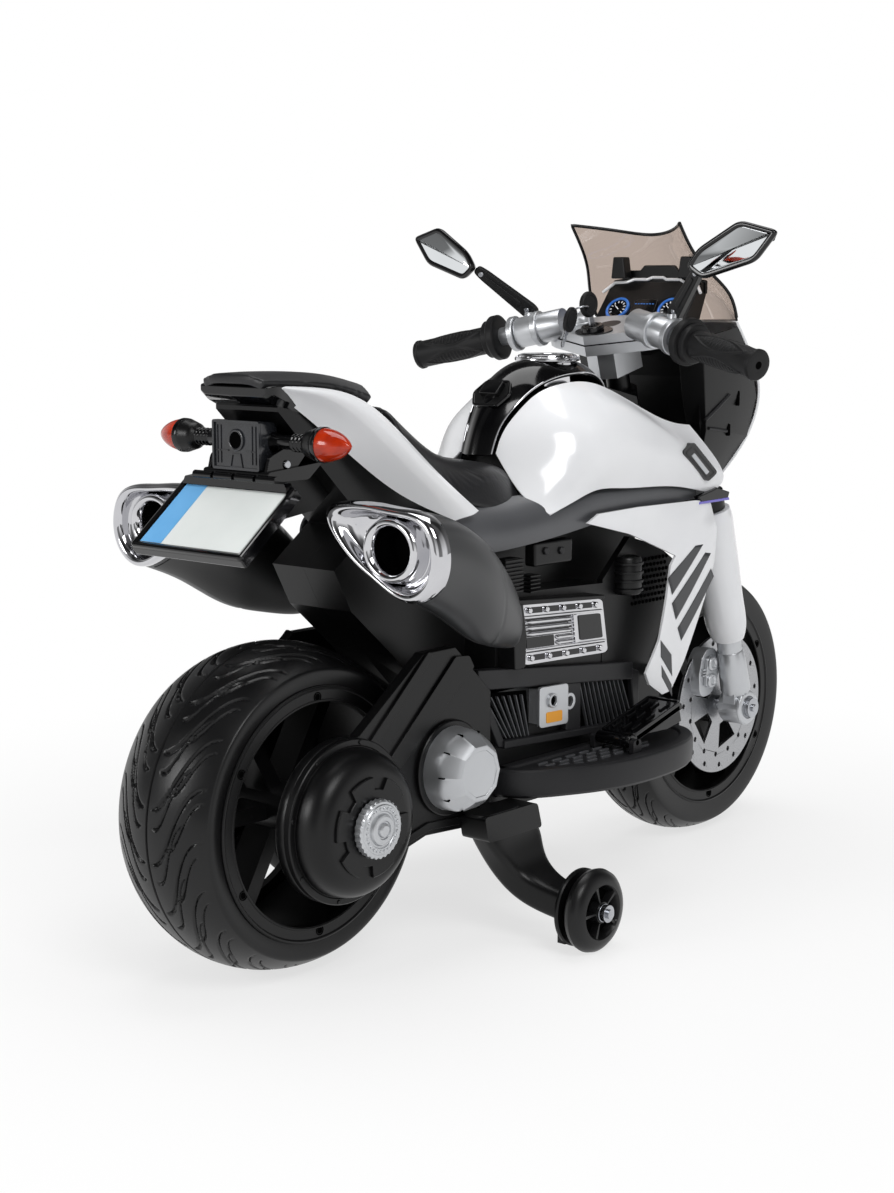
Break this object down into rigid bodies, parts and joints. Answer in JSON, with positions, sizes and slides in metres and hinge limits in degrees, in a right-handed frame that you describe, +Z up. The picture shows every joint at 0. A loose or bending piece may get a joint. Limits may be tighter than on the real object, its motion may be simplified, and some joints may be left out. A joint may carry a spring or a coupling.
{
  "type": "kids electric motorbike",
  "caption": "Child's battery motorbike with white panels, wide black tyres, chrome exhausts, smoke windscreen, folding mirrors, steering front fork and small stabiliser wheels.",
  "frame": {"origin": "on the ground, midway between the two axles, in the middle plane", "axes": "+X forwards along the bike, +Y to the rider's left, +Z up"},
  "size_m": [1.0519, 0.526, 0.7561],
  "materials": {
    "white_panel": "white gloss moulding",
    "charcoal_panel": "charcoal satin moulding",
    "black_plastic": "black satin moulding",
    "gloss_black": "black gloss moulding",
    "silver_paint": "silver painted moulding",
    "chrome": "vacuum plated bright plastic",
    "steel": "zinc plated steel",
    "head_steel": "black painted steel",
    "gear_nylon": "natural nylon",
    "orange_lens": "orange clear moulding",
    "lamp_lens": "clear moulding",
    "smoke_screen": "smoke clear moulding",
    "plate_white": "off-white sheet",
    "grip_rubber": "ribbed dark grey",
    "tyre_plastic": "matte black"
  },
  "bodies": {
    "chassis": {"chassis_right": "black_plastic", "chassis_left": "black_plastic", "footboards": "black_plastic", "swing_arms": "black_plastic", "silver_caps": "silver_paint", "hub_covers": "black_plastic", "rear_axle": "steel", "engine_covers": "chrome", "charge_plate": "silver_paint", "mid_panels": "charcoal_panel", "tank_covers": "white_panel", "tank_console": "gloss_black", "filler_cap": "chrome", "seat": "charcoal_panel", "tail_fairings": "white_panel", "tail_pad": "charcoal_panel", "tail_bracket": "black_plastic", "tail_lamp": "gloss_black", "indicator_lenses": "orange_lens", "plate_holder": "black_plastic", "number_plate": "plate_white", "exhausts": "charcoal_panel", "exhaust_tips": "chrome", "lower_fairings": "white_panel", "stabiliser_arms": "black_plastic", "stabiliser_bolts": "steel", "battery": "black_plastic", "drive_motor": "black_plastic", "head_tube": "head_steel"},
    "steering": {"steering_column": "steel", "top_yoke": "silver_paint", "handlebars": "silver_paint", "grip_left": "grip_rubber", "ignition_lock": "black_plastic", "fork_legs": "silver_paint", "fork_covers": "silver_paint", "front_axle": "steel", "brake_calipers": "silver_paint", "cowl_shell": "white_panel", "cowl_liner": "black_plastic", "dash_panel": "black_plastic", "windscreen": "smoke_screen", "headlamp": "lamp_lens"},
    "throttle": {"grip_right": "grip_rubber"},
    "front_wheel": {"front_tyre": "tyre_plastic", "front_rim": "black_plastic", "brake_discs": "silver_paint"},
    "rear_wheel": {"rear_tyre": "tyre_plastic", "rear_rim": "black_plastic", "drive_gear": "gear_nylon"},
    "pinion": {"motor_pinion": "gear_nylon"},
    "stabiliser_right": {"stabiliser_wheel_right": "black_plastic"},
    "stabiliser_left": {"stabiliser_wheel_left": "black_plastic"},
    "pedal": {"accelerator_pedal": "black_plastic"},
    "key": {"ignition_keys": "steel"},
    "switch": {"drive_switch": "black_plastic"},
    "mirror_arm_right": {"mirror_arm_right": "black_plastic"},
    "mirror_arm_left": {"mirror_arm_left": "black_plastic"},
    "mirror_head_right": {"mirror_head_right": "black_plastic"},
    "mirror_head_left": {"mirror_head_left": "black_plastic"}
  },
  "joints": [
    {"name": "steering_turn", "type": "hinge", "parent": "chassis", "child": "steering", "pos_m": [0.33116, 0, 0.15773], "axis": [-0.2756, 0, 0.9613], "range_deg": [-16, 16]},
    {"name": "throttle_twist", "type": "hinge", "parent": "steering", "child": "throttle", "pos_m": [0.176, -0.052, 0.638], "axis": [-0.2072, -0.9572, -0.2023], "range_deg": [0, 35], "stiffness_Nm_per_rad": 0.06},
    {"name": "front_wheel_spin", "type": "hinge", "parent": "steering", "child": "front_wheel", "pos_m": [0.36, 0, 0.166], "axis": [0, 1, 0], "continuous": true},
    {"name": "rear_wheel_spin", "type": "hinge", "parent": "chassis", "child": "rear_wheel", "pos_m": [-0.36, 0, 0.166], "axis": [0, 1, 0], "continuous": true},
    {"name": "pinion_spin", "type": "hinge", "parent": "chassis", "child": "pinion", "pos_m": [-0.38125, 0, 0.20281], "axis": [0, 1, 0], "continuous": true},
    {"name": "stabiliser_right_spin", "type": "hinge", "parent": "chassis", "child": "stabiliser_right", "pos_m": [-0.118, -0.223, 0.044], "axis": [0, 1, 0], "continuous": true},
    {"name": "stabiliser_left_spin", "type": "hinge", "parent": "chassis", "child": "stabiliser_left", "pos_m": [-0.118, 0.223, 0.044], "axis": [0, 1, 0], "continuous": true},
    {"name": "pedal_press", "type": "hinge", "parent": "chassis", "child": "pedal", "pos_m": [0.04, -0.131, 0.185], "axis": [0, 1, 0], "range_deg": [0, 8], "stiffness_Nm_per_rad": 1.5, "springref_deg": -4.58},
    {"name": "key_turn", "type": "hinge", "parent": "steering", "child": "key", "pos_m": [0.16286, 0, 0.62858], "axis": [-0.2756, 0, 0.9613], "range_deg": [-45, 0]},
    {"name": "switch_rock", "type": "hinge", "parent": "chassis", "child": "switch", "pos_m": [-0.016, 0, 0.567], "axis": [0, 1, 0], "range_deg": [-6, 6]},
    {"name": "mirror_right_fold", "type": "hinge", "parent": "steering", "child": "mirror_arm_right", "pos_m": [0.178, -0.104, 0.65], "axis": [0, 0, 1], "range_deg": [-25, 15]},
    {"name": "mirror_left_fold", "type": "hinge", "parent": "steering", "child": "mirror_arm_left", "pos_m": [0.178, 0.104, 0.65], "axis": [0, 0, 1], "range_deg": [-15, 25]},
    {"name": "mirror_right_tilt", "type": "hinge", "parent": "mirror_arm_right", "child": "mirror_head_right", "pos_m": [0.146, -0.158, 0.698], "axis": [0, 1, 0], "range_deg": [-5, 5]},
    {"name": "mirror_left_tilt", "type": "hinge", "parent": "mirror_arm_left", "child": "mirror_head_left", "pos_m": [0.146, 0.158, 0.698], "axis": [0, 1, 0], "range_deg": [-5, 5]}
  ],
  "couplings": [
    {"joint": "pinion_spin", "follows": "rear_wheel_spin", "ratio": -3}
  ]
}
